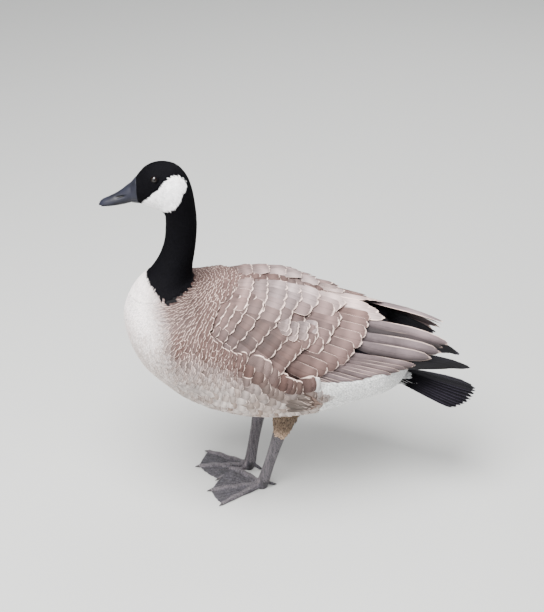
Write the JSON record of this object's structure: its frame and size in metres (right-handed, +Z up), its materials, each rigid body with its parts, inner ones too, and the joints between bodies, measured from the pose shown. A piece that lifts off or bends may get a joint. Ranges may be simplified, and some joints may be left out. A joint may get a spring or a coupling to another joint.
{
  "type": "canada goose model",
  "caption": "Life-size standing goose with a long black neck, pale cheek patch, brown folded wings in overlapping feather tiers, black tail fan and webbed feet.",
  "frame": {"origin": "on the floor under the middle of the bird's box, between bill tip and tail tip and on its plane of symmetry", "axes": "+Z up; -X is the way the bill points; +Y is the bird's right side, away from the viewer of the picture"},
  "size_m": [0.5818, 0.2526, 0.5724],
  "materials": {
    "head_feathers": "short black feathers with a white cheek patch, matt",
    "neck_feathers": "short black feathers, matt",
    "body_feathers": "cream to grey-brown barred feathers, matt",
    "wing_feathers": "brown feathers with pale edges, matt",
    "tail_feathers": "black vanes, satin",
    "thigh_feathers": "short tan-brown feathers, matt",
    "foot_skin": "scaly slate-grey skin, satin",
    "claws": "dark horn, satin",
    "bill": "slate-black horn, satin",
    "eyes": "dark brown, wet gloss"
  },
  "bodies": {
    "root": {"claw_left_hind": "claws", "claw_left_inner": "claws", "claw_left_middle": "claws", "claw_left_outer": "claws", "claw_right_hind": "claws", "claw_right_inner": "claws", "claw_right_middle": "claws", "claw_right_outer": "claws", "eye_left": "eyes", "eye_right": "eyes", "foot_left": "foot_skin", "foot_right": "foot_skin", "head": "head_feathers", "lower_bill": "bill", "neck": "neck_feathers", "tail": "tail_feathers", "tarsus_left": "foot_skin", "tarsus_right": "foot_skin", "thigh_left": "thigh_feathers", "thigh_right": "thigh_feathers", "torso": "body_feathers", "upper_bill": "bill", "wing_left": "wing_feathers", "wing_right": "wing_feathers"}
  },
  "joints": []
}
